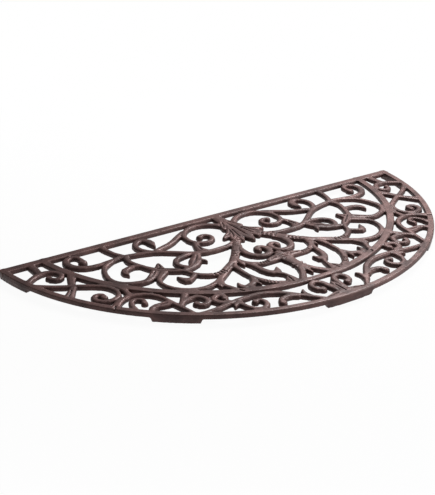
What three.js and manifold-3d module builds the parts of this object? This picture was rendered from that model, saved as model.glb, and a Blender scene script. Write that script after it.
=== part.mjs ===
// Half-round cast iron door mat: a straight back rail, a curved rim on five feet, an inner arch, and
// openwork scrolls that tie them together. Millimetres, +Z up, floor at z = 0, curved front towards -Y.

import * as THREE from 'three';
import Module from 'manifold-3d';

const wasm = await Module();
wasm.setup();

// Driving dimensions, mm
const matWidth = 720; // along the straight back edge
const matDepth = 335; // from the back edge to the middle of the curved front
const railWidth = 14; // straight bar along the back
const rimWidth = 10.5; // curved bar round the front
const archHalfSpan = 295; // middle of the mat to the middle of the arch's bar, at the back edge
const archDepth = 267; // back edge to the middle of the arch's bar, at the front
const archWidthSide = 10.5; // the arch is widest where it meets the rail
const archWidthMiddle = 8; // and narrower in front of the column
const archNarrowReach = 60; // how far from the middle the narrowing goes
const frameHeight = 5; // thickness of rail, rim and arch
const frameBevel = 1.2; // chamfer along their top edges
const footHeight = 8; // feet under the rim
const footInset = 0.4; // foot's sides lie this far inside the rim's
const footDraft = 3; // how much shorter a foot is at the floor, at each end
const footSideDraft = 0.8; // how much narrower, on each side
const centreFootLength = 82; // along the rim
const frontFootLength = 69;
const frontFootAngle = 39; // degrees round from the middle of the front
const cornerFootLength = 68;
const vineWidth = 8.6; // a plain stem of the scrollwork
const vineHeight = 5; // crown above the flat underside
const bossHeight = 5; // the leafy bosses on the middle line are deeper
const clearance = 0.3; // between neighbouring pieces

// How finely curves are faceted
const chordError = 0.32; // mm between a facet and its true curve
const longestStep = 18; // mm
const fineStep = 1.2; // mm, for measuring how a line bends
const curlStep = 30; // degrees between the points of a curl
const barStep = 3; // degrees between the facets of rim and arch

const topZ = footHeight + frameHeight;

// The circle through both ends of a straight edge and the middle of the curved front. Its centre is on
// the middle line, a little behind the back edge, which is y = 0 here.
function frontArc(halfSpan, depth) {
  const centreY = (halfSpan ** 2 - depth ** 2) / (2 * depth);
  return { centreY, radius: centreY + depth };
}

// A point of an arc; the angle in radians is counted from the middle of the front
function onArc(arc, angle, radius = arc.radius) {
  return [radius * Math.sin(angle), arc.centreY - radius * Math.cos(angle)];
}

// The angle at which a circle about the arc's centre meets the back edge
function backAngle(arc, radius = arc.radius) {
  return Math.acos(arc.centreY / radius);
}

const outerArc = frontArc(matWidth / 2, matDepth);
const rimMiddle = { centreY: outerArc.centreY, radius: outerArc.radius - rimWidth / 2 };
const archMiddle = frontArc(archHalfSpan, archDepth);

// The scrollwork is drawn for a mat of this outline and arch, and its points follow the real ones.
// It is drawn from a line that lies patternBack mm in front of the back edge.
const patternBack = 5;
const patternOuter = frontArc(360, 335);
const patternArch = frontArc(295, 267);

// How far a ray from the rim's centre runs before it meets the arch
function rayToArch(rim, arch, angle) {
  const shift = rim.centreY - arch.centreY;
  const along = shift * Math.cos(angle);
  return along + Math.sqrt(along ** 2 - shift ** 2 + arch.radius ** 2);
}

// Inside the arch the pattern follows the arch's span and depth
function placeInPanel([x, y]) {
  const drawnHalfSpan = Math.sqrt(patternArch.radius ** 2 - patternArch.centreY ** 2);
  const drawnDepth = patternArch.radius - patternArch.centreY;
  return [(x * archHalfSpan) / drawnHalfSpan, ((y - patternBack) * archDepth) / drawnDepth];
}

// Between arch and rim the pattern keeps its share of the way across and of the way round
function placeInBorder([x, y]) {
  const forward = patternOuter.centreY - y + patternBack;
  const angle = Math.atan2(x, forward);
  const reach = Math.hypot(x, forward);
  const inner = rayToArch(patternOuter, patternArch, angle);
  const share = (reach - inner) / (patternOuter.radius - inner);
  const newAngle = (angle * backAngle(outerArc)) / backAngle(patternOuter);
  const newInner = rayToArch(outerArc, archMiddle, newAngle);
  return onArc(outerArc, newAngle, newInner + share * (outerArc.radius - newInner));
}

// A closed solid through rings with the same number of points, with flat ends
function loft(rings) {
  const size = rings[0].length;
  const last = (rings.length - 1) * size;
  const triVerts = [];
  for (let ring = 0; ring < last; ring += size) {
    for (let k = 0; k < size; k += 1) {
      const next = (k + 1) % size;
      triVerts.push(ring + k, ring + next, ring + size + k);
      triVerts.push(ring + next, ring + size + next, ring + size + k);
    }
  }
  for (let k = 1; k + 1 < size; k += 1) {
    triVerts.push(0, k + 1, k);
    triVerts.push(last, last + k, last + k + 1);
  }
  const vertProperties = new Float32Array(rings.flat(2));
  const mesh = new wasm.Mesh({ numProp: 3, vertProperties, triVerts: new Uint32Array(triVerts) });
  return new wasm.Manifold(mesh);
}

// A section carried to a station of a line: across it and up from baseZ
function ringAt(station, section, baseZ) {
  return section.map(([across, up]) => [
    station.x + across * station.normalX,
    station.y + across * station.normalY,
    baseZ + up,
  ]);
}

// Crowned, half-round section of the scrolls
function crownedSection(width, height) {
  const half = width / 2;
  const shoulder = [0.86 * half, 0.7 * height];
  return [[half, 0], shoulder, [0, height], [-shoulder[0], shoulder[1]], [-half, 0]];
}

// Flat bar with chamfered top edges
function barSection(width) {
  const half = width / 2;
  const flat = half - frameBevel;
  const side = frameHeight - frameBevel;
  return [[half, 0], [half, side], [flat, frameHeight], [-flat, frameHeight], [-half, side], [-half, 0]];
}

// Upright block, taller than the mat, that clears a piece's place in its neighbours
function clearingSection(left, right) {
  return [[right, 0], [right, topZ + 2], [left, topZ + 2], [left, 0]];
}

// Stations round an arc, for bars and feet; one of them lies in the middle
function arcStations(arc, fromAngle, toAngle, steps = arcSteps(toAngle - fromAngle)) {
  return Array.from({ length: steps + 1 }, (_, i) => {
    const angle = fromAngle + ((toAngle - fromAngle) * i) / steps;
    const [x, y] = onArc(arc, angle);
    return { x, y, normalX: -Math.sin(angle), normalY: Math.cos(angle) };
  });
}

function arcSteps(angle) {
  return 2 * Math.ceil(angle / 2 / THREE.MathUtils.degToRad(barStep));
}

// Points of a curl that winds from its stem in to its eye; the radius shrinks by the same share each step
function curlPoints({ eye, start, turn, from, to }) {
  const steps = Math.ceil(Math.abs(turn) / curlStep);
  return Array.from({ length: steps + 1 }, (_, i) => {
    const angle = THREE.MathUtils.degToRad(start + (turn * i) / steps);
    const radius = from * (to / from) ** (i / steps);
    return [eye[0] + radius * Math.cos(angle), eye[1] + radius * Math.sin(angle)];
  });
}

// A strand's width at a share of its points, from the swellings written beside them
function widthAt(swell, index) {
  const low = Math.min(Math.floor(index), swell.length - 1);
  const high = Math.min(low + 1, swell.length - 1);
  return vineWidth * THREE.MathUtils.lerp(swell[low], swell[high], index - Math.floor(index));
}

// Stations of a strand, close where it bends and far apart where it runs straight
function strandStations(strand, place) {
  const drawn = [...(strand.line ?? []), ...(strand.curl ? curlPoints(strand.curl) : [])];
  const points = drawn.map(place).map(([x, y]) => new THREE.Vector3(x, y, 0));
  const curve = new THREE.CatmullRomCurve3(points, false, 'centripetal');
  curve.arcLengthDivisions = 40 * points.length;
  const length = curve.getLength();
  const fineSteps = Math.ceil(length / fineStep);
  const shares = [0];
  let turned = 0;
  for (let i = 1; i < fineSteps; i += 1) {
    turned += curve.getTangentAt((i - 1) / fineSteps).angleTo(curve.getTangentAt(i / fineSteps));
    const run = (i / fineSteps - shares.at(-1)) * length;
    if (run * turned > 8 * chordError || run > longestStep) {
      shares.push(i / fineSteps);
      turned = 0;
    }
  }
  shares.push(1);
  const swell = strand.swell ?? [1];
  const stations = shares.map((share) => stationAt(curve, share, widthAt(swell, indexAt(curve, share)), 1));
  return strand.tip ? roundedTip(curve, length, stations, shares) : stations;
}

// Where a share of the length lies among the curve's points
function indexAt(curve, share) {
  return curve.getUtoTmapping(share) * (curve.points.length - 1);
}

function stationAt(curve, share, width, rise) {
  const point = curve.getPointAt(share);
  const tangent = curve.getTangentAt(share);
  return { x: point.x, y: point.y, normalX: -tangent.y, normalY: tangent.x, width, rise };
}

// A free end closes in a quarter round instead of a square cut
function roundedTip(curve, length, stations, shares) {
  const { width } = stations.at(-1);
  const startShare = 1 - width / 2 / length;
  const kept = stations.filter((_, i) => shares[i] < startShare - fineStep / length);
  const rounding = [90, 60, 30, 8].map((degrees) => {
    const angle = THREE.MathUtils.degToRad(degrees);
    const share = startShare + (1 - startShare) * Math.cos(angle);
    return stationAt(curve, share, width * Math.sin(angle), THREE.MathUtils.lerp(0.4, 1, Math.sin(angle)));
  });
  return [...kept, ...rounding];
}

// Whether a line comes so close to itself that its own turns meet
function meetsItself(stations) {
  return stations.some((here, i) => stations.slice(0, i).some((before, j) => {
    const apart = Math.hypot(here.x - before.x, here.y - before.y);
    const touching = (here.width + before.width) / 2;
    const between = stations.slice(j, i).reduce((sum, s, k) => {
      const next = stations[j + k + 1];
      return sum + Math.hypot(next.x - s.x, next.y - s.y);
    }, 0);
    return apart < touching && between > 3 * touching;
  }));
}

// A line that meets itself is made in half turns, which are then joined like strands
function lengthsOf(stations) {
  if (!meetsItself(stations)) {
    return [stations];
  }
  const lengths = [[stations[0]]];
  let turned = 0;
  for (let i = 1; i < stations.length; i += 1) {
    const before = stations[i - 1];
    const here = stations[i];
    turned += Math.acos(Math.min(1, before.normalX * here.normalX + before.normalY * here.normalY));
    lengths.at(-1).push(here);
    if (turned > Math.PI && i < stations.length - 2) {
      lengths.push([before, here]);
      turned = 0;
    }
  }
  return lengths;
}

function join(solids) {
  return solids.reduce((whole, solid) => whole.add(solid));
}

function carve(solid, cutters) {
  return cutters.reduce((left, cutter) => left.subtract(cutter), solid);
}

// A low dome with a flat underside, for the knob in the eye of a curl
function knob({ x, y }, radius, height) {
  const sides = 10;
  const rings = [[1, 0], [0.85, 0.6], [0.45, 0.93], [0.08, 1]].map(([reach, up]) =>
    Array.from({ length: sides }, (_, k) => {
      const angle = (2 * Math.PI * k) / sides;
      return [
        x + radius * reach * Math.cos(angle),
        y + radius * reach * Math.sin(angle),
        topZ - height + up * height,
      ];
    }),
  );
  return loft(rings);
}

// One scroll: its strands joined, and the upright blocks that keep its neighbours clear of it
function vine({ strands, height = vineHeight }, place) {
  const solids = [];
  const clearing = [];
  for (const strand of strands) {
    const stations = strandStations(strand, place);
    for (const length of lengthsOf(stations)) {
      solids.push(loft(length.map((s) => {
        return ringAt(s, crownedSection(s.width, height * s.rise), topZ - height);
      })));
      clearing.push(loft(length.map((s) => {
        const half = s.width / 2 + clearance;
        return ringAt(s, clearingSection(-half, half), -1);
      })));
    }
    if (strand.knob) {
      const radius = (strand.knob * vineWidth) / 2;
      solids.push(knob(stations.at(-1), radius, height));
      clearing.push(upright(stations.at(-1), radius + clearance));
    }
  }
  return { solid: join(solids), clearing: join(clearing) };
}

// Round upright block about a knob
function upright({ x, y }, radius) {
  const sides = 10;
  return loft([-1, topZ + 1].map((z) =>
    Array.from({ length: sides }, (_, k) => {
      const angle = (2 * Math.PI * k) / sides;
      return [x + radius * Math.cos(angle), y + radius * Math.sin(angle), z];
    })));
}

// The largest separate body of a solid, as vertices and triangles; small offcuts of a cut are left out
function mainBody(solid) {
  const { vertProperties, triVerts } = solid.getMesh();
  const owner = Array.from({ length: vertProperties.length / 3 }, (_, i) => i);
  const find = (i) => {
    let root = i;
    while (owner[root] !== root) root = owner[root];
    owner[i] = root;
    return root;
  };
  for (let t = 0; t < triVerts.length; t += 3) {
    owner[find(triVerts[t])] = find(triVerts[t + 1]);
    owner[find(triVerts[t + 1])] = find(triVerts[t + 2]);
  }
  const corner = (i) => new THREE.Vector3().fromArray(vertProperties, 3 * i);
  const bodies = new Map();
  for (let t = 0; t < triVerts.length; t += 3) {
    const triangle = [...triVerts.subarray(t, t + 3)];
    const [a, b, c] = triangle.map(corner);
    const body = bodies.get(find(triVerts[t])) ?? { volume: 0, triangles: [] };
    body.volume += a.dot(b.cross(c)) / 6;
    body.triangles.push(...triangle);
    bodies.set(find(triVerts[t]), body);
  }
  const largest = [...bodies.values()].reduce((best, body) => (body.volume > best.volume ? body : best));
  return { vertProperties, triVerts: largest.triangles };
}

// Cast iron with a worn antique brown-black finish
function ironMaterial() {
  return new THREE.MeshStandardMaterial({ color: 0x5a4a48, roughness: 0.55, metalness: 0.8 });
}

// A named mesh from a body; side is 1, or -1 for its mirror image across the middle line
function meshOf(name, { vertProperties, triVerts }, side = 1) {
  const used = [...new Set(triVerts)];
  const renumbered = new Map(used.map((vertex, i) => [vertex, i]));
  const positions = used.flatMap((vertex) => {
    const [x, y, z] = vertProperties.subarray(3 * vertex, 3 * vertex + 3);
    return [side * x, y, z];
  });
  const order = side > 0 ? [0, 1, 2] : [0, 2, 1];
  const index = [];
  for (let t = 0; t < triVerts.length; t += 3) {
    index.push(...order.map((k) => renumbered.get(triVerts[t + k])));
  }
  const geometry = new THREE.BufferGeometry();
  geometry.setAttribute('position', new THREE.Float32BufferAttribute(positions, 3));
  geometry.setIndex(index);
  geometry.computeVertexNormals();
  const mesh = new THREE.Mesh(geometry, ironMaterial());
  mesh.name = name;
  return mesh;
}

const mat = new THREE.Group();

// Straight back rail; its ends follow the curve of the rim
function railAt(side, section) {
  return section.map(([across, up]) => {
    const y = -railWidth / 2 + across;
    const end = Math.sqrt(outerArc.radius ** 2 - (y - outerArc.centreY) ** 2);
    return [side * end, y, footHeight + up];
  });
}
const rail = loft([-1, 1].map((side) => railAt(side, barSection(railWidth))));
mat.add(meshOf('back_rail', mainBody(rail)));
const railClearing = loft([-1, 1].map((side) => [
  [side * matWidth, railWidth, -1],
  [side * matWidth, railWidth, topZ + 1],
  [side * matWidth, -railWidth - clearance, topZ + 1],
  [side * matWidth, -railWidth - clearance, -1],
]));

// Curved rim, from corner to corner
const rimEnd = backAngle(rimMiddle);
const rimStations = arcStations(rimMiddle, -rimEnd, rimEnd);
const rim = loft(rimStations.map((s) => ringAt(s, barSection(rimWidth), footHeight)));
mat.add(meshOf('outer_rim', mainBody(rim.subtract(railClearing))));
const rimClearing = loft(rimStations.map((s) => {
  const inward = rimWidth / 2 + clearance;
  return ringAt(s, clearingSection(-2 * rimWidth, inward), -1);
}));

// Inner arch, which narrows in front of the column
function archWidthAt({ x }) {
  const share = THREE.MathUtils.smoothstep(Math.abs(x), 0, archNarrowReach);
  return THREE.MathUtils.lerp(archWidthMiddle, archWidthSide, share);
}
const archEnd = backAngle(archMiddle);
const archStations = arcStations(archMiddle, -archEnd, archEnd);
const arch = loft(archStations.map((s) => ringAt(s, barSection(archWidthAt(s)), footHeight)));
mat.add(meshOf('inner_arch', mainBody(arch.subtract(railClearing))));
const archClearing = loft(archStations.map((s) => {
  const half = archWidthAt(s) / 2 + clearance;
  return ringAt(s, clearingSection(-half, half), -1);
}));

// Feet: blocks under the rim that follow its curve and draw in towards the floor
function foot(middleAngle, length) {
  const halfAngle = length / 2 / rimMiddle.radius;
  const tipAngle = halfAngle - footDraft / rimMiddle.radius;
  const half = rimWidth / 2 - footInset;
  const tops = arcStations(rimMiddle, middleAngle - halfAngle, middleAngle + halfAngle);
  const floors = arcStations(rimMiddle, middleAngle - tipAngle, middleAngle + tipAngle, tops.length - 1);
  const narrow = half - footSideDraft;
  return loft(tops.map((top, i) => [
    ...ringAt(top, [[half, footHeight], [-half, footHeight]], 0),
    ...ringAt(floors[i], [[-narrow, 0], [narrow, 0]], 0),
  ]));
}
const innerCorner = backAngle(rimMiddle, rimMiddle.radius - rimWidth / 2);
const cornerFootMiddle = innerCorner - cornerFootLength / 2 / rimMiddle.radius;
const frontFootMiddle = THREE.MathUtils.degToRad(frontFootAngle);
mat.add(meshOf('foot_centre', mainBody(foot(0, centreFootLength))));
for (const [side, end] of [[-1, 'left'], [1, 'right']]) {
  mat.add(meshOf(`foot_front_${end}`, mainBody(foot(side * frontFootMiddle, frontFootLength))));
  mat.add(meshOf(`foot_corner_${end}`, mainBody(foot(side * cornerFootMiddle, cornerFootLength))));
}

// Both halves of a leafy boss on the middle line, from the lobes on the left
function bothSides(strands) {
  const across = strands.map((strand) => ({ ...strand, line: strand.line.map(([x, y]) => [-x, y]) }));
  return [...strands, ...across];
}

// Bosses on the middle line. A swelling is the width there as a multiple of vineWidth.
const bosses = [
  {
    name: 'centre_palmette',
    place: placeInPanel,
    strands: [
      { line: [[0, -5], [0, -40], [0, -75], [0, -109]], swell: [1.9, 2.8, 3.2, 0.9], tip: true },
      ...bothSides([
        { line: [[-4, -46], [-9, -72], [-15, -102]], swell: [1.4, 2.3, 0.8], tip: true },
        { line: [[-6, -52], [-16, -76], [-28, -95]], swell: [1.5, 2.3, 0.9], tip: true },
        { line: [[-4, -50], [-14, -68], [-26, -76], [-37, -81]], swell: [1.4, 1.9, 1.4, 0.6], tip: true },
        { line: [[-2, -22], [-8, -38], [-17, -55]], swell: [1.2, 1.6, 0.7], tip: true },
      ]),
    ],
  },
  {
    name: 'axis_column',
    place: placeInPanel,
    strands: [
      {
        line: [[0, -163], [0, -178], [0, -190], [0, -203], [0, -216], [0, -228]],
        swell: [1.3, 2.8, 2.5, 1.85, 1.75, 2],
      },
      { line: [[0, -226], [0, -236], [0, -247]], swell: [1.3, 1.1, 0.2], tip: true },
      ...bothSides([
        { line: [[-5, -224], [-10, -236], [-17, -246], [-28, -260]], swell: [1.2, 1.15, 1.15, 1.5] },
        { line: [[0, -212], [-9, -211]], swell: [0.45] },
        { line: [[0, -218.5], [-9, -219.5]], swell: [0.45] },
      ]),
    ],
  },
  {
    name: 'front_palmette',
    place: placeInBorder,
    strands: [
      { line: [[0, -325], [0, -302], [0, -284]], swell: [2.4, 1.5, 0.3], tip: true },
      ...bothSides([{ line: [[0, -315], [-20, -317], [-40, -321]], swell: [1.7, 1.2, 0.6] }]),
    ],
  },
];

// Scrolls of the panel inside the arch, left half, in the order in which they are carved: each stops
// short of those before it. A line runs through its points and on into its curl.
const panelVines = [
  {
    name: 'main_stem',
    strands: [
      {
        line: [[-10, -72], [-19, -88], [-30, -104], [-51, -132], [-73, -157]],
        swell: [1.7, 1.7, 1.6, 1.5, 1.6],
      },
      { line: [[-62, -152], [-65, -165], [-66, -176]], swell: [1, 0.9, 0.25], tip: true },
    ],
  },
  {
    name: 'upper_vine',
    strands: [
      {
        line: [
          [-30, -98], [-44, -105], [-60, -106.5], [-79, -106.5], [-93, -103.5], [-105, -96.5], [-117, -87],
          [-130, -76], [-146, -65], [-163, -59], [-180, -55], [-198, -53], [-215, -56], [-232, -58.5],
          [-247, -57.5], [-258, -53], [-267, -43], [-270, -31], [-266, -19], [-257, -14], [-249, -18],
          [-246.5, -27], [-248, -36],
        ],
        swell: [1, 1, 1, 1, 1, 1, 1, 1, 1, 1, 1, 1, 1, 1.05, 1.15, 1.25, 1.3, 1.3, 1.2, 1, 0.9, 0.9],
        knob: 1.6,
      },
      { line: [[-203, -3], [-201, -24], [-198, -37], [-192, -51]], swell: [1.3, 1, 0.9, 1.2] },
    ],
  },
  {
    name: 'heart_scroll',
    strands: [
      {
        line: [
          [-6, -46], [-13, -36], [-21, -27], [-32, -20.5], [-45, -17], [-59, -19], [-72, -28], [-81, -41],
        ],
        curl: { eye: [-59, -61], start: 152, turn: 335, from: 26.5, to: 6.5 },
        swell: [1.3, 1.2, 1.15, 1, 1.05, 1, 0.93],
        knob: 1.2,
      },
      { line: [[-80, -70], [-85, -82], [-87, -93], [-85, -106]], swell: [1.15, 1.15, 1.7, 2.6] },
    ],
  },
  {
    name: 'rail_curl',
    strands: [
      {
        line: [
          [-146, -64], [-155, -55], [-160, -43], [-159, -30], [-151, -20], [-141, -17.5], [-134.5, -25],
          [-134, -36], [-136, -48],
        ],
        swell: [1, 1, 1, 1, 1.1, 1.2, 1.5, 1.5, 0.5],
        tip: true,
      },
    ],
  },
  {
    name: 'upper_branch',
    strands: [
      {
        line: [[-150, -65], [-126, -56], [-112, -51.5], [-98, -43], [-86, -34.5], [-72, -26]],
        swell: [1.1],
      },
    ],
  },
  {
    name: 'middle_scroll',
    strands: [
      {
        line: [
          [-66, -150], [-88, -165], [-98, -171.5], [-109, -175.5], [-120, -174], [-129, -169], [-137, -161],
          [-141.5, -152], [-145, -142.5], [-154, -133.5], [-166, -125], [-177, -116], [-183, -105],
          [-187, -94], [-191, -84], [-193.5, -73], [-192, -62], [-186, -50],
        ],
        swell: [1.1, 1.1, 1.1, 1, 1, 1, 0.95, 0.75, 0.8, 1.45, 1.65, 1.35, 1, 0.93, 0.9, 1, 1.1],
      },
      { line: [[-172, -120], [-167, -110], [-163, -101]], swell: [2.4, 1.9, 0.7], tip: true },
      {
        line: [[-139, -160], [-148, -167], [-154, -169.5], [-159, -168], [-162.5, -162], [-165, -154]],
        swell: [0.9, 0.75, 1.3, 1.5, 1, 0.3],
        tip: true,
      },
      {
        line: [[-188, -93], [-196, -90], [-206, -91], [-213.5, -95], [-217, -102], [-216, -112]],
        swell: [1.1, 0.95, 1.1, 1.35, 1.2, 0.3],
        tip: true,
      },
    ],
  },
  {
    name: 'lower_scroll',
    strands: [
      {
        line: [
          [-70, -152], [-84, -164], [-97, -175], [-109, -185], [-121, -193.5], [-135, -200], [-150, -202.5],
          [-163, -200], [-175, -193.5], [-185, -183], [-190.5, -171], [-192.5, -159], [-190, -148],
          [-182, -139], [-173, -131.5], [-161, -122],
        ],
        swell: [1.4, 1.4, 1.3, 1.15, 1, 1, 1, 1, 1, 0.9, 0.75, 0.75, 0.9, 1.1, 1.3],
      },
      {
        line: [[-113, -184], [-121, -196], [-125.5, -207], [-123, -218], [-119, -230], [-113, -246]],
        swell: [1, 1.1, 1.1, 0.75, 1, 1.7],
      },
      { line: [[-122, -198], [-130, -206], [-131, -214]], swell: [1, 1, 0.3], tip: true },
    ],
  },
  {
    name: 'outer_scroll',
    strands: [
      {
        line: [
          [-204, -52], [-221, -61], [-231, -69], [-238, -80], [-242.5, -93], [-245, -106], [-243, -119],
          [-236, -129], [-227, -135], [-216, -139], [-206, -140], [-197, -136.5], [-188, -129.5],
          [-176, -117],
        ],
        swell: [1, 1, 0.9, 0.9, 0.95, 1.05, 1.1, 1.1, 1.1, 1.1, 1.1, 1.4, 1.6],
      },
    ],
  },
  {
    name: 'leaf_scroll',
    strands: [
      {
        line: [
          [-96, -96], [-103, -109], [-112, -120], [-119, -129], [-128, -136], [-140, -139.5], [-152, -142],
        ],
        swell: [1.2, 1.5, 2.5, 2.1, 1.3, 1.1],
      },
      { line: [[-107, -122], [-103, -128], [-101, -134]], swell: [1.15, 0.8, 0.3], tip: true },
    ],
  },
  {
    name: 'middle_curl',
    strands: [
      {
        line: [
          [-99, -97], [-112, -98], [-124, -99.5], [-134, -104], [-140.5, -112], [-141.5, -121],
          [-138, -130], [-128, -138],
        ],
      },
    ],
  },
  {
    name: 'axis_curl',
    strands: [
      {
        line: [
          [-31, -112], [-36.5, -120], [-38.5, -130], [-38.5, -143], [-34, -154], [-25, -161], [-14, -161.5],
          [-6.5, -156], [-4.3, -147], [-5.5, -138.5], [-12, -134], [-18, -138], [-17, -142.5],
        ],
        swell: [1.2, 1.3, 1.3, 1.3, 1.2, 1.15],
        knob: 1.2,
      },
    ],
  },
  {
    name: 'cross_scroll',
    strands: [
      {
        line: [
          [-3, -178], [-12, -178], [-22, -180], [-33, -182.5], [-44, -181], [-53, -175.5], [-60, -166],
          [-63, -153], [-60, -140],
        ],
        swell: [2.5, 2.2, 1.2, 1, 1, 1, 1, 1.1, 1.2],
      },
    ],
  },
  {
    name: 'heart_leaf',
    strands: [
      {
        line: [
          [-59, -164], [-55, -182], [-53.5, -194], [-52, -205], [-47.5, -214], [-41, -217.5], [-36, -213],
          [-32.5, -205],
        ],
        swell: [1.15, 1, 1.2, 1.2, 1.3, 1.5, 1.3, 0.4],
        tip: true,
      },
      {
        line: [[-42, -218], [-36.5, -228], [-35, -236], [-38, -248], [-42, -262]],
        swell: [1.2, 0.7, 0.7, 2.4],
      },
    ],
  },
  {
    name: 'lower_stem',
    strands: [
      {
        line: [
          [-67, -148], [-77, -165], [-79.5, -178], [-79.5, -191], [-79.5, -205], [-77, -218], [-71, -230.5],
          [-62, -243], [-50, -251], [-34, -264],
        ],
        swell: [1.15, 1.2, 1, 0.75, 0.8, 1, 1.1, 1.1, 1.2],
      },
      {
        line: [[-79, -211], [-86, -225], [-95, -230], [-104, -232], [-108, -226], [-107, -216]],
        swell: [1, 1.1, 1.2, 1.3, 1.1, 0.3],
        tip: true,
      },
      { line: [[-84, -222], [-83, -230], [-82, -238]], swell: [1, 1, 0.3], tip: true },
      { line: [[-97, -230], [-98, -240], [-99, -252]], swell: [1.4, 1.3, 1.6] },
    ],
  },
];

// Scrolls of the border between arch and rim, left half
const borderVines = [
  {
    name: 'border_scroll_2',
    strands: [
      {
        line: [
          [-286, -196], [-274, -179], [-263, -171], [-250, -167], [-238, -169], [-227, -174.5],
          [-218.5, -184], [-213.5, -196], [-212, -209], [-209.5, -223], [-206.5, -238], [-202, -266],
        ],
        swell: [1.7, 1.4, 1.1, 1, 1, 1, 1, 0.75, 1, 1, 0.75, 0.85],
      },
      {
        line: [[-211, -213], [-222, -213], [-233, -211.5], [-241, -214], [-247, -223]],
        swell: [1.7, 1.6, 1.3, 1.05, 1],
      },
      { line: [[-247, -136], [-244.5, -150], [-247, -168]], swell: [1.1, 0.85, 1.2] },
    ],
  },
  {
    name: 'border_scroll_3',
    strands: [
      {
        line: [[-208, -232], [-203, -225], [-196, -219.5], [-187, -217.5]],
        curl: { eye: [-180.5, -235], start: 78, turn: -258, from: 17.5, to: 5 },
        knob: 1.3,
      },
      { line: [[-200, -222], [-192, -213], [-184, -203]], swell: [1, 1, 1.4] },
    ],
  },
  {
    name: 'border_stem',
    strands: [
      {
        line: [
          [-207, -260], [-190, -263], [-176, -263], [-160, -260.5], [-140, -257.5], [-118, -256.5],
          [-100, -258.5], [-88, -263.5], [-78, -269.5], [-68, -280], [-58, -292], [-48, -304], [-34, -321],
        ],
        swell: [0.9, 0.9, 0.9, 0.9, 1, 1, 1.1, 1.1, 1.1, 1, 1, 0.9, 0.8],
      },
      {
        line: [[-49, -304], [-50.5, -296], [-50, -288], [-46, -281.5]],
        swell: [1.2, 1, 0.8, 0.3],
        tip: true,
      },
      {
        line: [[-60, -292], [-69, -286.5], [-79, -285.5], [-87, -288.5], [-90, -296]],
        swell: [1.1, 1.1, 1.1, 1.1, 1.1],
        knob: 1.4,
      },
    ],
  },
  {
    name: 'border_scroll_1',
    strands: [
      {
        line: [
          [-348, -59], [-335, -72], [-325, -80.5], [-311, -90.5], [-296, -98], [-283, -106], [-271, -114],
          [-261, -123], [-255.5, -135], [-254.5, -147], [-259, -158], [-270, -164], [-282, -162.5],
          [-289.5, -155], [-289.5, -145], [-282.5, -140], [-276, -144], [-277, -151],
        ],
        swell: [1, 1, 1, 1, 1, 1, 1, 1, 0.85, 0.75, 0.9, 1],
        knob: 1.3,
      },
      { line: [[-281, -66], [-289, -80], [-296, -96]], swell: [1.7, 1.3, 1.1] },
      { line: [[-296, -100], [-304, -110], [-312, -120], [-322, -132]], swell: [1, 1.2, 1.6, 2.1] },
    ],
  },
  {
    name: 'corner_scroll',
    strands: [
      {
        line: [
          [-351, -62], [-341, -53], [-331, -45], [-319, -39], [-307, -38], [-297.5, -43.5], [-293, -53],
          [-295, -63], [-302, -67], [-309.5, -62.5], [-311, -56],
        ],
        swell: [1.3, 1, 1, 1.05, 1.05, 1, 0.95],
        knob: 1.15,
      },
      { line: [[-315, -3], [-315, -20], [-317, -40]], swell: [1.4, 1.4, 1.3] },
    ],
  },
  {
    name: 'rim_curl',
    strands: [
      {
        line: [
          [-267, -221], [-261.5, -206], [-259, -193], [-253.5, -182.5], [-245.5, -180.5], [-239, -187],
          [-241, -195],
        ],
        swell: [1.3, 1.15, 0.9, 0.85, 0.85],
        knob: 1.1,
      },
    ],
  },
  {
    name: 'small_curl',
    strands: [
      { curl: { eye: [-151, -240], start: 291, turn: -330, from: 15, to: 5.5 }, swell: [1.1], knob: 1.2 },
    ],
  },
  {
    name: 'border_curl_4',
    strands: [
      {
        line: [
          [-137, -255], [-138, -268], [-136, -280], [-130, -291], [-120.5, -295], [-111.5, -290],
          [-108, -280], [-112, -272.5], [-119, -273.5],
        ],
        swell: [1.5, 1.1, 0.8, 0.9, 1, 1, 0.9, 0.8],
        knob: 1.15,
      },
      { line: [[-138, -264], [-144, -266], [-150, -272]], swell: [1.2, 1.1, 0.3], tip: true },
      { line: [[-121, -294], [-120, -303], [-120, -312]], swell: [0.9, 1.2, 1.7] },
    ],
  },
  {
    name: 'front_curl',
    strands: [
      {
        line: [
          [-5, -322], [-7, -303], [-9, -290], [-10.5, -279], [-17, -272], [-25, -273], [-29.5, -281],
          [-27.5, -291], [-21.5, -294.5],
        ],
        swell: [1, 1, 1.2, 1.1, 1],
        knob: 1.4,
      },
    ],
  },
];

// Carving: frame first, then the bosses, then each scroll with its mirror image
const carved = [railClearing, rimClearing, archClearing];
for (const boss of bosses) {
  const { solid, clearing } = vine({ ...boss, height: bossHeight }, boss.place);
  mat.add(meshOf(boss.name, mainBody(carve(solid, carved))));
  carved.push(clearing);
}
const otherHalf = loft([-matDepth * 2, matDepth].map((y) => [
  [-clearance / 2, y, -1], [-clearance / 2, y, topZ + 1], [matWidth, y, topZ + 1], [matWidth, y, -1],
]));
carved.push(otherHalf);
for (const [vines, place] of [[panelVines, placeInPanel], [borderVines, placeInBorder]]) {
  for (const scroll of vines) {
    const { solid, clearing } = vine(scroll, place);
    const body = mainBody(carve(solid, carved));
    mat.add(meshOf(`${scroll.name}_left`, body));
    mat.add(meshOf(`${scroll.name}_right`, body, -1));
    carved.push(clearing);
  }
}

// Origin under the middle of the mat's outline, on the floor
mat.position.y = matDepth / 2;

export default mat;
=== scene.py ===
# Half-round cast iron door mat. Rail, rim and arch are grown along their paths with Geometry Nodes and
# fused with the CAD solids of the feet and scrolls into one smooth sand casting. Leaf veins and the
# notches of the bindings, grown the same way, are carved into it. It is then cut along the bars into
# frame, panel and border, and gets a worn antique finish with painted shade on its sides and in its
# inner corners. Lengths in metres.
import math

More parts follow.
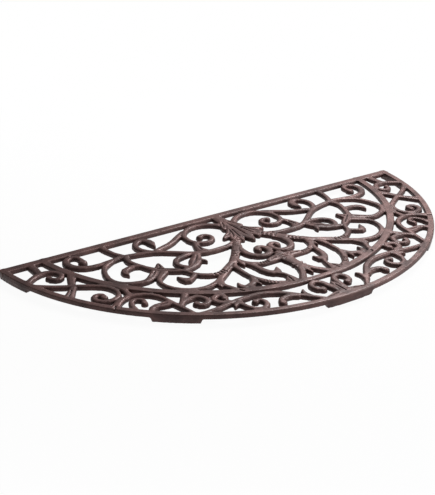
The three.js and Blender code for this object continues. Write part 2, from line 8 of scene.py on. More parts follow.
import bmesh
import bpy
import numpy as np
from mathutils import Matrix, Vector
from mathutils.kdtree import KDTree


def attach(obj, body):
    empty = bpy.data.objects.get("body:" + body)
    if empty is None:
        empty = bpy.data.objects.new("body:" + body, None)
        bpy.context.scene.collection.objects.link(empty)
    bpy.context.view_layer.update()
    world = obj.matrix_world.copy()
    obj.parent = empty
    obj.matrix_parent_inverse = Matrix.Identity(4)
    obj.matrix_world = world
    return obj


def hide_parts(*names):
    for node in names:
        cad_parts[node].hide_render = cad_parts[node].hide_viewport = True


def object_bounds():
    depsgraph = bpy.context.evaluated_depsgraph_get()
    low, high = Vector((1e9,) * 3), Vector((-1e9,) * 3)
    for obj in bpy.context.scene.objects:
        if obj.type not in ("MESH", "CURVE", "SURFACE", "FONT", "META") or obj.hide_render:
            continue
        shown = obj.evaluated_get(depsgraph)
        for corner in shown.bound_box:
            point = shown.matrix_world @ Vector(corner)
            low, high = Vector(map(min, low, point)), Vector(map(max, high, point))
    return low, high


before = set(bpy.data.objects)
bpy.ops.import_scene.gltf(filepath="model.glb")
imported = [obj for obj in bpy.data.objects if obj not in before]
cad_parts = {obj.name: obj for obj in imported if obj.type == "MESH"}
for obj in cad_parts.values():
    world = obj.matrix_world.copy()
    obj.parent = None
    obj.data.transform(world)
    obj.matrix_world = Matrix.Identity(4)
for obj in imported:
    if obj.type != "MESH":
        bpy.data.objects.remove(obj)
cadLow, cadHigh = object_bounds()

scene = bpy.context.scene
scene.view_settings.view_transform = "Standard"
mm = 0.001
topZ = cadHigh.z
backY = cadHigh.y
print("frame loaded:", len(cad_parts), "solids")


def hexLinear(code):
    # "#rrggbb" as the linear colour that a socket takes
    channels = [int(code[i:i + 2], 16) / 255 for i in (1, 3, 5)]
    return [c / 12.92 if c <= 0.04045 else ((c + 0.055) / 1.055) ** 2.4 for c in channels] + [1]


def addNode(tree, kind, inputs=None, **settings):
    # a node with its settings; an input is a value or another node's output
    made = tree.nodes.new(kind)
    for name, value in settings.items():
        setattr(made, name, value)
    for key, value in (inputs or {}).items():
        if isinstance(value, bpy.types.NodeSocket):
            tree.links.new(value, made.inputs[key])
        else:
            made.inputs[key].default_value = value
    return made


def meshObject(name, mesh):
    made = bpy.data.objects.new(name, mesh)
    scene.collection.objects.link(made)
    return made


def plainMesh(thing):
    # the evaluated result as a mesh of its own, with the modifiers gone
    graph = bpy.context.evaluated_depsgraph_get()
    made = bpy.data.meshes.new_from_object(thing.evaluated_get(graph))
    thing.modifiers.clear()
    return made


def growTree(name, sizes):
    # Geometry Nodes tree: a path comes in beside its named sizes and what it lies on, solids go out
    tree = bpy.data.node_groups.new(name, "GeometryNodeTree")
    tree.interface.new_socket("Solids", in_out="OUTPUT", socket_type="NodeSocketGeometry")
    tree.interface.new_socket("Path", in_out="INPUT", socket_type="NodeSocketGeometry")
    for label, value in sizes.items():
        kind = "NodeSocketInt" if isinstance(value, int) else "NodeSocketFloat"
        tree.interface.new_socket(label, in_out="INPUT", socket_type=kind).default_value = value
    tree.interface.new_socket("Ground", in_out="INPUT", socket_type="NodeSocketObject")
    tree.interface.new_socket("Finish", in_out="INPUT", socket_type="NodeSocketMaterial")
    return tree, tree.nodes.new("NodeGroupInput").outputs


def endTree(tree, solids, finish):
    # real geometry in its finish
    real = addNode(tree, "GeometryNodeRealizeInstances", {"Geometry": solids})
    coated = addNode(tree, "GeometryNodeSetMaterial",
                     {"Geometry": real.outputs["Geometry"], "Material": finish})
    tree.links.new(coated.outputs["Geometry"], tree.nodes.new("NodeGroupOutput").inputs[0])


def grow(name, tree, lines, **values):
    # solids that a tree grows along lines of points, as a plain mesh
    path = bpy.data.meshes.new(name)
    starts = np.cumsum([0] + [len(line) for line in lines])
    edges = [(int(i), int(i) + 1) for a, b in zip(starts, starts[1:]) for i in range(a, b - 1)]
    path.from_pydata([point for line in lines for point in line], edges, [])
    thing = meshObject(name, path)
    step = thing.modifiers.new("grow", "NODES")
    step.node_group = tree
    for socket in tree.interface.items_tree:
        if socket.in_out == "INPUT" and socket.name in values:
            step[socket.identifier] = values[socket.name]
    made = plainMesh(thing)
    bpy.data.objects.remove(thing)
    print("grown:", name, "with", len(made.polygons), "faces")
    return made


def coordinates(mesh):
    flat = np.empty(len(mesh.vertices) * 3, dtype=np.float32)
    mesh.vertices.foreach_get("co", flat)
    return flat.reshape(-1, 3).astype(np.float64)


def edgePairs(mesh):
    flat = np.empty(len(mesh.edges) * 2, dtype=np.int32)
    mesh.edges.foreach_get("vertices", flat)
    return flat.reshape(-1, 2)


def setCoordinates(mesh, places):
    mesh.vertices.foreach_set("co", places.astype(np.float32).ravel())
    mesh.update()


ironFinishAndShade = {
    "patina": "#412a28",      # brown-black of the antique finish
    "warm": "#664642",        # where it has thinned
    "worn": "#7a605c",        # crowns that shoes have rubbed
    "cornerShade": "#170f0e",      # painted shade in the inner corners, with the dark finish that gathers there
    "sideShade": "#2d1817",        # painted shade on the sides, which makes them darker than the tops
    "sideShadeShare": 0.4,         # how far a side takes that painted shade
    "sideShadeTurn": (0.3, 0.8),   # upward part of the normal, from a side in full painted shade to a top with none
    "rubbing": 1.25,          # how strongly the grain on the crowns is rubbed bare
    "cloudSize": 26 * mm,     # blotches of the finish
    "cloudDetail": 5.0,
    "cloudRoughness": 0.6,
    "cloudThin": (0.36, 0.66),    # noise of the blotches, from full patina to worn thin
    "grainSize": 1.3 * mm,    # sand grain, drawn coarser than the real 0.4 mm so that it shows
    "grainDetail": 3.0,
    "grainRoughness": 0.65,
    "grainDepth": 0.2 * mm,
    "swellSize": 9 * mm,      # slow unevenness of the sand mould
    "swellDetail": 2.0,
    "swellDepth": 0.3 * mm,
    "roughness": 0.58,
    "rougher": 0.08,          # added where the patina is full
    "smoother": 0.07,         # taken off where it has thinned
    "glossNoise": (0.3, 0.7),     # the same noise, from rougher to smoother
    "metallic": 0.5,          # iron under a thin painted patina
    "coat": 0.14,             # thin lacquer that glints on the crests
    "coatRoughness": 0.22,
}


def antiqueIronWithShade(look):
    # sand-cast iron with a worn antique brown-black finish: a broken satin sheen on the crowns,
    # blotches of brown, painted shade on the sides, and near black painted shade with dark finish in
    # the corners
    made = bpy.data.materials.new("sand_cast_iron_antique_finish_and_painted_shade")
    made.use_nodes = True
    tree = made.node_tree
    tree.nodes.clear()
    place = addNode(tree, "ShaderNodeTexCoord").outputs["Object"]
    clouds = addNode(tree, "ShaderNodeTexNoise",
                     {"Vector": place, "Scale": 1 / look["cloudSize"],
                      "Detail": look["cloudDetail"], "Roughness": look["cloudRoughness"]})
    thinning = addNode(tree, "ShaderNodeMapRange",
                       {"Value": clouds.outputs["Fac"], "From Min": look["cloudThin"][0],
                        "From Max": look["cloudThin"][1]})
    base = addNode(tree, "ShaderNodeMix",
                   {"Factor": thinning.outputs["Result"], "A": hexLinear(look["patina"]),
                    "B": hexLinear(look["warm"])}, data_type="RGBA")
    grain = addNode(tree, "ShaderNodeTexNoise",
                    {"Vector": place, "Scale": 1 / look["grainSize"],
                     "Detail": look["grainDetail"], "Roughness": look["grainRoughness"]})
    crown = addNode(tree, "ShaderNodeAttribute", attribute_name="crown")
    rubbed = addNode(tree, "ShaderNodeMath",
                     {0: crown.outputs["Fac"], 1: grain.outputs["Fac"]}, operation="MULTIPLY")
    rubbedShare = addNode(tree, "ShaderNodeMath", {0: rubbed.outputs[0], 1: look["rubbing"]},
                          operation="MULTIPLY", use_clamp=True)
    wornBase = addNode(tree, "ShaderNodeMix",
                       {"Factor": rubbedShare.outputs[0], "A": base.outputs["Result"],
                        "B": hexLinear(look["worn"])}, data_type="RGBA")
    # painted shade on the sides: the less a face's normal points up, the more it takes the side-shade
    # colour
    facing = addNode(tree, "ShaderNodeSeparateXYZ",
                     {"Vector": addNode(tree, "ShaderNodeNewGeometry").outputs["Normal"]})
    side = addNode(tree, "ShaderNodeMapRange",
                   {"Value": facing.outputs["Z"], "From Min": look["sideShadeTurn"][0],
                    "From Max": look["sideShadeTurn"][1], "To Min": look["sideShadeShare"], "To Max": 0.0},
                   interpolation_type="SMOOTHSTEP")
    sideShaded = addNode(tree, "ShaderNodeMix",
                    {"Factor": side.outputs["Result"], "A": wornBase.outputs["Result"],
                     "B": hexLinear(look["sideShade"])}, data_type="RGBA")
    # painted shade, with dark finish, in the inner corners
    cornerShade = addNode(tree, "ShaderNodeAttribute", attribute_name="cornerShade")
    colour = addNode(tree, "ShaderNodeMix",
                     {"Factor": cornerShade.outputs["Fac"], "A": sideShaded.outputs["Result"],
                      "B": hexLinear(look["cornerShade"])}, data_type="RGBA")
    gloss = addNode(tree, "ShaderNodeMapRange",
                    {"Value": clouds.outputs["Fac"], "From Min": look["glossNoise"][0],
                     "From Max": look["glossNoise"][1],
                     "To Min": look["roughness"] + look["rougher"],
                     "To Max": look["roughness"] - look["smoother"]})
    swell = addNode(tree, "ShaderNodeTexNoise",
                    {"Vector": place, "Scale": 1 / look["swellSize"], "Detail": look["swellDetail"]})
    uneven = addNode(tree, "ShaderNodeBump",
                     {"Height": swell.outputs["Fac"], "Strength": 1.0, "Distance": look["swellDepth"]})
    rough = addNode(tree, "ShaderNodeBump",
                    {"Height": grain.outputs["Fac"], "Strength": 1.0, "Distance": look["grainDepth"],
                     "Normal": uneven.outputs["Normal"]})
    shader = addNode(tree, "ShaderNodeBsdfPrincipled",
                     {"Base Color": colour.outputs["Result"], "Roughness": gloss.outputs["Result"],
                      "Normal": rough.outputs["Normal"], "Metallic": look["metallic"],
                      "Coat Weight": look["coat"], "Coat Roughness": look["coatRoughness"],
                      "Coat Normal": uneven.outputs["Normal"]})
    addNode(tree, "ShaderNodeOutputMaterial", {"Surface": shader.outputs["BSDF"]})
    return made


iron = antiqueIronWithShade(ironFinishAndShade)
print("finish made")

bars = {
    "outerSpan": 360 * mm,    # middle of the mat to the outside of the rim, at the back edge
    "outerDepth": 335 * mm,
    "rimWidth": 10.5 * mm,
    "railWidth": 14 * mm,
    "railShort": 0.6 * mm,    # each end of the rail stops short of the rim's curve
    "archSpan": 295 * mm,     # middle of the mat to the middle of the arch's bar
    "archDepth": 267 * mm,
    "archWidth": 12.5 * mm,   # the photo's arch looks broader than the solid's
    "archWaist": 0.76,        # share of its width that the arch keeps in front of the column
    "waistReach": 60 * mm,
    "height": 6.8 * mm,       # the photo's bars look deeper than the solids'
    "draft": 0.6 * mm,        # lean of each side, so that the pattern leaves the sand
    "corner": 0.7 * mm,       # rounding of the edges
    "cornerSteps": 3,
    "steps": 96,              # lengths in an arc
}


def arcThrough(halfSpan, depth):
    # circle through the ends of a span on the back edge and the middle of its front: centre and radius
    centre = backY + (halfSpan ** 2 - depth ** 2) / (2 * depth)
    return centre, centre - (backY - depth)


def arcPoints(arc, grown, stopY):
    # an arc grown by a length, from its left end to its right one, at the height stopY on both sides
    centre, radius = arc[0], arc[1] + grown
    end = math.acos((centre - stopY) / radius)
    return [(radius * math.sin(end * t), centre - radius * math.cos(end * t))
            for t in np.linspace(-1, 1, bars["steps"] + 1)]


def barTree(sizes):
    # flat bar hung below its path, with leaning sides and rounded edges; with level normals along
    # the path the section's y points down
    tree, given = growTree("cast_bar_on_path", {
        "Width": sizes["rimWidth"], "Height": sizes["height"], "Draft": sizes["draft"],
        "Corner": sizes["corner"], "Corner Steps": sizes["cornerSteps"], "Waist": 1.0,
        "Waist Reach": sizes["waistReach"],
    })
    low = addNode(tree, "ShaderNodeMath", {0: given["Width"], 1: 0.5}, operation="MULTIPLY")
    high = addNode(tree, "ShaderNodeMath", {0: low.outputs[0], 1: given["Draft"]}, operation="SUBTRACT")
    section = addNode(tree, "GeometryNodeCurvePrimitiveQuadrilateral", mode="POINTS")
    for i, (out, sign, down) in enumerate([(high, 1, 0.0), (low, 1, given["Height"]),
                                           (low, -1, given["Height"]), (high, -1, 0.0)]):
        x = addNode(tree, "ShaderNodeMath", {0: out.outputs[0], 1: sign}, operation="MULTIPLY")
        corner = addNode(tree, "ShaderNodeCombineXYZ", {"X": x.outputs[0], "Y": down})
        tree.links.new(corner.outputs[0], section.inputs[f"Point {i + 1}"])
    rounded = addNode(tree, "GeometryNodeFilletCurve",
                      {"Curve": section.outputs["Curve"], "Radius": given["Corner"],
                       "Count": given["Corner Steps"]}, mode="POLY")
    line = addNode(tree, "GeometryNodeMeshToCurve", {"Mesh": given["Path"]})
    level = addNode(tree, "GeometryNodeSetCurveNormal", {"Curve": line.outputs["Curve"]}, mode="Z_UP")
    place = addNode(tree, "ShaderNodeSeparateXYZ",
                    {"Vector": addNode(tree, "GeometryNodeInputPosition").outputs["Position"]})
    away = addNode(tree, "ShaderNodeMath", {0: place.outputs["X"]}, operation="ABSOLUTE")
    waist = addNode(tree, "ShaderNodeMapRange",
                    {"Value": away.outputs[0], "From Max": given["Waist Reach"],
                     "To Min": given["Waist"], "To Max": 1.0}, interpolation_type="SMOOTHSTEP")
    bar = addNode(tree, "GeometryNodeCurveToMesh",
                  {"Curve": level.outputs["Curve"], "Profile Curve": rounded.outputs["Curve"],
                   "Scale": waist.outputs["Result"], "Fill Caps": True})
    endTree(tree, bar.outputs["Mesh"], given["Finish"])
    return tree


outerArc = arcThrough(bars["outerSpan"], bars["outerDepth"])
archArc = arcThrough(bars["archSpan"], bars["archDepth"])
barOnPath = barTree(bars)


def barAlong(name, points, width, waist=1.0):
    line = [(x, y, topZ) for x, y in points]
    return grow(name, barOnPath, [line], Width=width, Waist=waist, Finish=iron)


railY = backY - bars["railWidth"] / 2
railEnd = bars["outerSpan"] - bars["railShort"]
barMeshes = {
    "back_rail": barAlong("rail", [(-railEnd, railY), (railEnd, railY)], bars["railWidth"]),
    "outer_rim": barAlong("rim", arcPoints(outerArc, -bars["rimWidth"] / 2, backY), bars["rimWidth"]),
    "inner_arch": barAlong("arch", arcPoints(archArc, 0, backY), bars["archWidth"], bars["archWaist"]),
}

castingForm = {
    "grid": 0.9 * mm,         # edge of the fused mesh's squares
    "swell": 0.8 * mm,        # growth that bridges the gaps between solids and gives stout stems
    "deepen": 1.8 * mm,       # how far the scrolls reach down below the solids, as the bars do
    "rounds": 4,              # smoothing rounds; they draw the cast fillets and soften the edges
    "move": 0.6,              # share of the way to its neighbours that a vertex goes in a round
    "keep": 0.5,              # share of each round that is given back, so that stems keep their width
    "merge": 0.001 * mm,      # corners of a solid closer than this are one
    "underside": 0.01 * mm,   # a corner this close to a solid's lowest one belongs to its underside
}


def addSolid(whole, source, growth=0.0, deepen=0.0):
    # a merged copy of a solid, grown along its corners' normals and drawn down at its underside
    part = bmesh.new()
    part.from_mesh(source)
    bmesh.ops.remove_doubles(part, verts=part.verts, dist=castingForm["merge"])
    bmesh.ops.recalc_face_normals(part, faces=part.faces)
    part.normal_update()
    bottom = min(corner.co.z for corner in part.verts)
    for corner in part.verts:
        lowest = corner.co.z < bottom + castingForm["underside"]
        corner.co += corner.normal * growth
        if lowest:
            corner.co.z = bottom - deepen
    grown = bpy.data.meshes.new("grown")
    part.to_mesh(grown)
    part.free()
    whole.from_mesh(grown)
    bpy.data.meshes.remove(grown)


def fuse(thing, grid):
    remesh = thing.modifiers.new("fuse", "REMESH")
    remesh.mode = "VOXEL"
    remesh.voxel_size = grid


whole = bmesh.new()
for name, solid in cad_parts.items():
    if name in barMeshes:
        addSolid(whole, barMeshes[name])
    elif name.startswith("foot_"):
        addSolid(whole, solid.data)
    else:
        addSolid(whole, solid.data, castingForm["swell"], castingForm["deepen"])
joined = bpy.data.meshes.new("joined_solids")
whole.to_mesh(joined)
whole.free()
casting = meshObject("casting", joined)
fuse(casting, castingForm["grid"])
casting.data = plainMesh(casting)
print("solids fused:", len(casting.data.vertices), "vertices")

carving = {
    "veinWidth": 2.8 * mm,    # grooves along the leaves
    "veinDepth": 2.1 * mm,
    "veinStep": 1.5 * mm,
    "veinTip": 0.45,          # share of the width at a vein's ends
    "tipReach": 0.25,         # share of a vein over which it narrows
    "notches": 4,             # cuts across a stem, which leave the ribs of a binding
    "notchWidth": 2.6 * mm,
    "notchLength": 15 * mm,
    "notchDepth": 2.2 * mm,
    "sides": 8,               # of the round cutters
    "grid": 0.3 * mm,         # edge of the cutters' fused squares
    "above": 5 * mm,          # lines start this far above the mat and drop on to it
    "drop": 50 * mm,          # how far down they look for it
    "datum": 5 * mm,          # the lines' y counts from this far in front of the back edge
    # lines of the left half in mm: x from the middle line, y from the datum
    "veins": [
        [(0, -24), (0, -60), (0, -104)],
        [(-6, -50), (-10, -74), (-15, -98)],
        [(-10, -58), (-18, -79), (-27, -92)],
        [(-9, -55), (-17, -69), (-27, -76), (-35, -80)],
        [(-4, -26), (-9, -40), (-16, -52)],
        [(-147, -141), (-157, -131), (-168, -122), (-180, -111)],
        [(-170, -119), (-166, -109), (-164, -103)],
        [(-100, -104), (-108, -116), (-116, -125), (-127, -135)],
        [(-82, -78), (-86, -94), (-85, -104)],
        [(-213, -213), (-224, -213), (-234, -212)],
        [(-300, -105), (-310, -117), (-320, -129)],
        [(-37, -236), (-39, -248), (-42, -259)],
        [(-118, -233), (-113, -244)],
        [(-200, -137), (-189, -130), (-178, -119)],
        [(-286, -193), (-276, -181)],
        [(-8, -179), (-20, -180), (-30, -182)],
        [(0, -322), (0, -304), (0, -289)],
        [(-5, -315), (-20, -317), (-36, -320.5)],
    ],
    "bindings": [
        [(0, -172), (0, -181), (0, -190)],
        [(-48.2, -128.8), (-53.2, -135.3), (-58.4, -141.8)],
        [(-24.2, -94.9), (-30.2, -103.9), (-36.2, -112.4)],
        [(-100, -172.5), (-109, -175.5), (-117, -175)],
        [(-31, -182), (-37, -182.5), (-43, -181.2)],
        [(-69, -233), (-65, -239), (-60, -244.5)],
    ],
}


def drawn(lines):
    # lines on both halves, in metres above the mat; one on the middle line is drawn once
    zeroY = backY - carving["datum"]
    level = topZ + carving["above"]
    halves = [[[(side * x * mm, y * mm + zeroY, level) for x, y in line] for line in lines]
              for side in (1, -1)]
    return halves[0] + [line for line in halves[1] if any(x for x, _, _ in line)]


def settle(tree, curve, ground, lift):
    # points of a curve dropped on to the object below, then lifted
    below = addNode(tree, "GeometryNodeObjectInfo", {"Object": ground})
    here = addNode(tree, "GeometryNodeInputPosition")
    ray = addNode(tree, "GeometryNodeRaycast",
                  {"Target Geometry": below.outputs["Geometry"], "Source Position": here.outputs[0],
                   "Ray Direction": (0.0, 0.0, -1.0), "Ray Length": carving["drop"]})
    up = addNode(tree, "ShaderNodeCombineXYZ", {"Z": lift})
    goal = addNode(tree, "ShaderNodeVectorMath",
                   {0: ray.outputs["Hit Position"], 1: up.outputs[0]}, operation="ADD")
    return addNode(tree, "GeometryNodeSetPosition",
                   {"Geometry": curve, "Selection": ray.outputs["Is Hit"],
                    "Position": goal.outputs[0]}).outputs["Geometry"]


def veinTree(sizes):
    # tapered round cutter that follows a line over the surface below it
    tree, given = growTree("leaf_vein_on_path", {
        "Width": sizes["veinWidth"], "Depth": sizes["veinDepth"], "Step": sizes["veinStep"],
        "Sides": sizes["sides"], "Tip": sizes["veinTip"], "Tip Reach": sizes["tipReach"],
    })
    line = addNode(tree, "GeometryNodeMeshToCurve", {"Mesh": given["Path"]})
    bent = addNode(tree, "GeometryNodeCurveSplineType", {"Curve": line.outputs["Curve"]},
                   spline_type="CATMULL_ROM")
    even = addNode(tree, "GeometryNodeResampleCurve",
                   {"Curve": bent.outputs["Curve"], "Length": given["Step"]}, mode="LENGTH")
    radius = addNode(tree, "ShaderNodeMath", {0: given["Width"], 1: 0.5}, operation="MULTIPLY")
    lift = addNode(tree, "ShaderNodeMath", {0: radius.outputs[0], 1: given["Depth"]},
                   operation="SUBTRACT")
    laid = settle(tree, even.outputs["Curve"], given["Ground"], lift.outputs[0])
    along = addNode(tree, "GeometryNodeSplineParameter")
    back = addNode(tree, "ShaderNodeMath", {0: 1.0, 1: along.outputs["Factor"]}, operation="SUBTRACT")
    nearEnd = addNode(tree, "ShaderNodeMath", {0: along.outputs["Factor"], 1: back.outputs[0]},
                      operation="MINIMUM")
    taper = addNode(tree, "ShaderNodeMapRange",
                    {"Value": nearEnd.outputs[0], "From Max": given["Tip Reach"],
                     "To Min": given["Tip"], "To Max": 1.0})
    ring = addNode(tree, "GeometryNodeCurvePrimitiveCircle",
                   {"Resolution": given["Sides"], "Radius": radius.outputs[0]})
    cutter = addNode(tree, "GeometryNodeCurveToMesh",
                     {"Curve": laid, "Profile Curve": ring.outputs["Curve"],
                      "Scale": taper.outputs["Result"], "Fill Caps": True})
    endTree(tree, cutter.outputs["Mesh"], given["Finish"])
    return tree


def notchTree(sizes):
    # round bars laid across a line at even steps
    tree, given = growTree("binding_notches_on_path", {
        "Count": sizes["notches"], "Width": sizes["notchWidth"], "Length": sizes["notchLength"],
        "Depth": sizes["notchDepth"], "Sides": sizes["sides"],
    })
    line = addNode(tree, "GeometryNodeMeshToCurve", {"Mesh": given["Path"]})
    points = addNode(tree, "GeometryNodeCurveToPoints",
                     {"Curve": line.outputs["Curve"], "Count": given["Count"]}, mode="COUNT")
    across = addNode(tree, "ShaderNodeVectorMath",
                     {0: points.outputs["Tangent"], 1: (0.0, 0.0, 1.0)}, operation="CROSS_PRODUCT")
    turn = addNode(tree, "FunctionNodeAlignRotationToVector", {"Vector": across.outputs[0]}, axis="Z")
    radius = addNode(tree, "ShaderNodeMath", {0: given["Width"], 1: 0.5}, operation="MULTIPLY")
    lift = addNode(tree, "ShaderNodeMath", {0: radius.outputs[0], 1: given["Depth"]},
                   operation="SUBTRACT")
    laid = settle(tree, points.outputs["Points"], given["Ground"], lift.outputs[0])
    rod = addNode(tree, "GeometryNodeMeshCylinder",
                  {"Vertices": given["Sides"], "Radius": radius.outputs[0],
                   "Depth": given["Length"]})
    rods = addNode(tree, "GeometryNodeInstanceOnPoints",
                   {"Points": laid, "Instance": rod.outputs["Mesh"], "Rotation": turn.outputs[0]})
    endTree(tree, rods.outputs["Instances"], given["Finish"])
    return tree


for name, tree, lines in [("leaf_veins", veinTree(carving), carving["veins"]),
                          ("binding_notches", notchTree(carving), carving["bindings"])]:
    cutterMesh = grow(name, tree, drawn(lines), Ground=casting, Finish=iron)
    whole = bmesh.new()
    addSolid(whole, cutterMesh)
    whole.to_mesh(cutterMesh)
    whole.free()
    cutter = meshObject(name, cutterMesh)
    fuse(cutter, carving["grid"])
    cutter.data = plainMesh(cutter)
    carve = casting.modifiers.new("carve", "BOOLEAN")
    carve.operation = "DIFFERENCE"
    carve.solver = "MANIFOLD"
    carve.object = cutter
    casting.data = plainMesh(casting)
    bpy.data.objects.remove(cutter)
fuse(casting, castingForm["grid"])
fused = plainMesh(casting)
casting.data = fused


def inCadBox(places):
    # no vertex outside the CAD box
    return np.clip(places, np.array(cadLow), np.array(cadHigh))


def smooth(mesh, form):
    # each round moves a vertex towards its neighbours, then part of the way back; it returns how
    # far the neighbours would still pull
    places = coordinates(mesh)
    pairs = edgePairs(mesh)
    count = np.bincount(pairs.ravel(), minlength=len(places))[:, None]

    def drift(at):
        total = np.zeros_like(at)
        for axis in range(3):
            total[:, axis] = (np.bincount(pairs[:, 0], at[pairs[:, 1], axis], len(at))
                              + np.bincount(pairs[:, 1], at[pairs[:, 0], axis], len(at)))
        return total / count - at

    for _ in range(form["rounds"]):
        places = places + form["move"] * drift(places)
        places = places - form["move"] * form["keep"] * drift(places)
    setCoordinates(mesh, inCadBox(places))
    return drift(places)


pull = smooth(fused, castingForm)
print("casting carved and smoothed:", len(fused.vertices), "vertices")

# spreading of the rubbed crowns and of the painted shade in the hollows
wornAndShadedForm = {
    "rounds": 3,              # spreading rounds
    "spread": 0.5,            # share that a vertex takes from its neighbours in a round
    "crownGain": 9,           # how fast a bulge counts as a rubbed crown
    "crownDepth": 5 * mm,     # shoes reach this far down
    "cornerShadeGain": 8,          # how fast a hollow takes the painted corner shade
}

# how far each vertex bulges or sinks, in squares of the grid
normals = np.empty(len(fused.vertices) * 3, dtype=np.float32)
fused.vertices.foreach_get("normal", normals)
bulge = -(pull * normals.reshape(-1, 3)).sum(axis=1) / castingForm["grid"]
pairs = edgePairs(fused)
count = np.bincount(pairs.ravel(), minlength=len(bulge))
for _ in range(wornAndShadedForm["rounds"]):
    around = (np.bincount(pairs[:, 0], bulge[pairs[:, 1]], len(bulge))
              + np.bincount(pairs[:, 1], bulge[pairs[:, 0]], len(bulge))) / count
    bulge = (1 - wornAndShadedForm["spread"]) * bulge + wornAndShadedForm["spread"] * around
places = coordinates(fused)
heightShare = 1 - (topZ - places[:, 2]) / wornAndShadedForm["crownDepth"]
crown = np.clip(bulge * wornAndShadedForm["crownGain"], 0, 1) * np.clip(heightShare, 0, 1)
# painted shade where the surface sinks into a hollow between stems
cornerShade = np.clip(-bulge * wornAndShadedForm["cornerShadeGain"], 0, 1)
# lookup of the rubbed crowns and of the painted corner shade
wornAndShadedPlaces = KDTree(len(places))
for i, place in enumerate(places):
    wornAndShadedPlaces.insert(place, i)
wornAndShadedPlaces.balance()
print("wear found")

cuts = {
    "thinned": 0.72,          # share of the triangles that is kept; mostly flat places lose theirs
    "beside": 1.6 * mm,       # the cut lies this far out from a bar's side, past its fillet
    "reach": 5 * mm,          # how far the cutting blocks stand out above and below
    "sliver": 0.02 * mm,      # edges shorter than this, which the cuts leave, are closed up
    "sharp": 55,              # degrees; only the cuts have edges sharper than this
}

thin = casting.modifiers.new("thin", "DECIMATE")
thin.ratio = cuts["thinned"]
thinned = plainMesh(casting)
setCoordinates(thinned, inCadBox(coordinates(thinned)))
print("casting thinned:", len(thinned.vertices), "vertices")


def prism(name, outline):
    # upright block over an outline, tall enough to pass through the mat
    block = bmesh.new()
    face = block.faces.new([block.verts.new((x, y, -cuts["reach"])) for x, y in outline])
    bmesh.ops.recalc_face_normals(block, faces=[face])
    lifted = bmesh.ops.extrude_face_region(block, geom=[face])
    for part in lifted["geom"]:
        if isinstance(part, bmesh.types.BMVert):
            part.co.z = topZ + cuts["reach"]
    bmesh.ops.recalc_face_normals(block, faces=block.faces)
    mesh = bpy.data.meshes.new(name)
    block.to_mesh(mesh)
    block.free()
    return meshObject(name, mesh)


def cutPiece(name, blocks, operation):
    # what the blocks leave of the casting, in clean triangles, with the wear, the painted shade and the
    # finish on it
    piece = meshObject(name, thinned.copy())
    for block in blocks:
        step = piece.modifiers.new("cut", "BOOLEAN")
        step.operation = operation
        step.solver = "MANIFOLD"
        step.object = block
    mesh = piece.data = plainMesh(piece)
    mesh.name = name
    clean = bmesh.new()
    clean.from_mesh(mesh)
    bmesh.ops.triangulate(clean, faces=clean.faces)
    bmesh.ops.dissolve_degenerate(clean, dist=cuts["sliver"], edges=clean.edges)
    clean.to_mesh(mesh)
    clean.free()
    nearest = [wornAndShadedPlaces.find(vertex.co)[1] for vertex in mesh.vertices]
    # the rubbed crowns and the painted shade of the inner corners
    for label, values in (("crown", crown), ("cornerShade", cornerShade)):
        layer = mesh.attributes.new(label, "FLOAT", "POINT")
        layer.data.foreach_set("value", values[nearest].astype(np.float32))
    mesh.materials.clear()
    mesh.materials.append(iron)
    mesh.polygons.foreach_set("use_smooth", np.ones(len(mesh.polygons), dtype=bool))
    mesh.polygons.foreach_set("material_index", np.zeros(len(mesh.polygons), dtype=np.int32))
    mesh.set_sharp_from_angle(angle=math.radians(cuts["sharp"]))
    print("piece:", name, "with", len(mesh.polygons), "triangles")
    return piece


panelEdge = backY - bars["railWidth"] - cuts["beside"]
archSide = bars["archWidth"] / 2 + cuts["beside"]
inside = arcPoints(archArc, -archSide, panelEdge)
outside = arcPoints(archArc, archSide, panelEdge)
rimInside = arcPoints(outerArc, -bars["rimWidth"] - cuts["beside"], panelEdge)


def half(outline, side):
    # an outline's points on one side, from the middle line outwards
    outwards = sorted(outline, key=lambda point: abs(point[0]))
    middle, rest = outwards[0], outwards[1:]
    return [(0.0, middle[1])] + [point for point in rest if point[0] * side > 0]


blocks = {}
for side, end in ((-1, "left"), (1, "right")):
    panel = half(inside, side) + [(0.0, panelEdge)]
    border = half(outside, side) + half(rimInside, side)[::-1]
    blocks[f"panel_scrolls_{end}"] = prism(f"block_panel_{end}", panel)
    blocks[f"border_scrolls_{end}"] = prism(f"block_border_{end}", border)
pieces = {name: cutPiece(name, [block], "INTERSECT") for name, block in blocks.items()}
pieces["rail_rim_arch_feet"] = cutPiece("rail_rim_arch_feet", list(blocks.values()), "DIFFERENCE")
for block in blocks.values():
    bpy.data.objects.remove(block)
bpy.data.objects.remove(casting)

borderNames = ("border_", "corner_scroll", "rim_curl", "small_curl", "front_curl", "front_palmette")


def pieceOf(node):
    # which piece stands for a solid; those on the middle line go with the left half
    if node in barMeshes or node.startswith("foot_"):
        return "rail_rim_arch_feet"
    zone = "border" if node.startswith(borderNames) else "panel"
    return f"{zone}_scrolls_{'right' if node.endswith('_right') else 'left'}"


for name, piece in pieces.items():
    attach(piece, "root")
    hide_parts(*[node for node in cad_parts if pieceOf(node) == name])
print("pieces placed")

floorLook = {
    "size": 30.0,
    "drop": 0.05 * mm,        # keeps it clear of the feet's undersides
    "colour": "#f4f3f1",
    "near": 0.945,            # share of plain white that the camera sees close to the mat
    "plain": (0.4, 0.9),      # metres out from the mat's middle, over which it turns all white
}

studio = {
    "world": 0.2,             # light from all round
    "lamps": [
        # name, place, edge, watts
        ("key_right_back", (0.95, 0.65, 1.1), 0.6, 22.5),
        ("fill_right_front", (1.9, -1.6, 0.75), 1.2, 54),
    ],
}


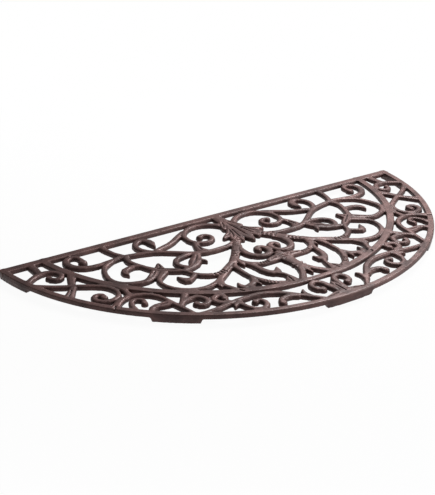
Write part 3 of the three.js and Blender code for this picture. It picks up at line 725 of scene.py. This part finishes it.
def paleFloor(look):
    # matt paper sweep: takes the mat's shadow, and further out it is plain white to the camera
    made = bpy.data.materials.new("matt_white_paper_sweep")
    made.use_nodes = True
    tree = made.node_tree
    tree.nodes.clear()
    place = addNode(tree, "ShaderNodeTexCoord").outputs["Object"]
    reach = addNode(tree, "ShaderNodeVectorMath", {0: place}, operation="LENGTH")
    plain = addNode(tree, "ShaderNodeMapRange",
                    {"Value": reach.outputs["Value"], "From Min": look["plain"][0],
                     "From Max": look["plain"][1], "To Min": look["near"], "To Max": 1.0})
    paper = addNode(tree, "ShaderNodeBsdfDiffuse", {"Color": hexLinear(look["colour"])})
    white = addNode(tree, "ShaderNodeEmission", {"Color": (1, 1, 1, 1), "Strength": 1.0})
    path = addNode(tree, "ShaderNodeLightPath")
    seen = addNode(tree, "ShaderNodeMath",
                   {0: path.outputs["Is Camera Ray"], 1: path.outputs["Is Glossy Ray"]},
                   operation="MAXIMUM")
    share = addNode(tree, "ShaderNodeMath", {0: seen.outputs[0], 1: plain.outputs["Result"]},
                    operation="MULTIPLY")
    mixed = addNode(tree, "ShaderNodeMixShader",
                    {0: share.outputs[0], 1: paper.outputs["BSDF"], 2: white.outputs["Emission"]})
    addNode(tree, "ShaderNodeOutputMaterial", {"Surface": mixed.outputs["Shader"]})
    return made


edge = floorLook["size"] / 2
sweep = bpy.data.meshes.new("floor")
sweep.from_pydata([(-edge, -edge, 0), (edge, -edge, 0), (edge, edge, 0), (-edge, edge, 0)], [],
                  [(0, 1, 2, 3)])
sweep.materials.append(paleFloor(floorLook))
floor = meshObject("floor", sweep)
floor.location.z = -floorLook["drop"]

world = bpy.data.worlds.new("studio")
scene.world = world
world.use_nodes = True
tree = world.node_tree
tree.nodes.clear()
path = addNode(tree, "ShaderNodeLightPath")
seen = addNode(tree, "ShaderNodeMath",
               {0: path.outputs["Is Camera Ray"], 1: path.outputs["Is Transmission Ray"]},
               operation="MAXIMUM")
strength = addNode(tree, "ShaderNodeMapRange",
                   {"Value": seen.outputs[0], "To Min": studio["world"], "To Max": 1.0})
sky = addNode(tree, "ShaderNodeBackground",
              {"Color": (1, 1, 1, 1), "Strength": strength.outputs["Result"]})
addNode(tree, "ShaderNodeOutputWorld", {"Surface": sky.outputs["Background"]})

for name, place, size, watts in studio["lamps"]:
    lamp = bpy.data.lights.new(name, "AREA")
    lamp.shape = "SQUARE"
    lamp.size = size
    lamp.energy = watts
    made = bpy.data.objects.new(name, lamp)
    made.location = place
    made.rotation_euler = (-Vector(place)).to_track_quat("-Z", "Y").to_euler()
    scene.collection.objects.link(made)

view = {
    "place": (-883.5 * mm, -1140.3 * mm, 649.1 * mm + topZ),
    "look": (0.5155, 0.75336, -0.40837),
    "lens": 79.46,            # millimetres, on the sensor below
    "sensor": 36,
}
eye = bpy.data.cameras.new("photo_view")
eye.lens = view["lens"]
eye.sensor_width = view["sensor"]
camera = bpy.data.objects.new("photo_view", eye)
camera.location = view["place"]
camera.rotation_euler = Vector(view["look"]).to_track_quat("-Z", "Y").to_euler()
scene.collection.objects.link(camera)
scene.camera = camera
print("floor, light and camera set")
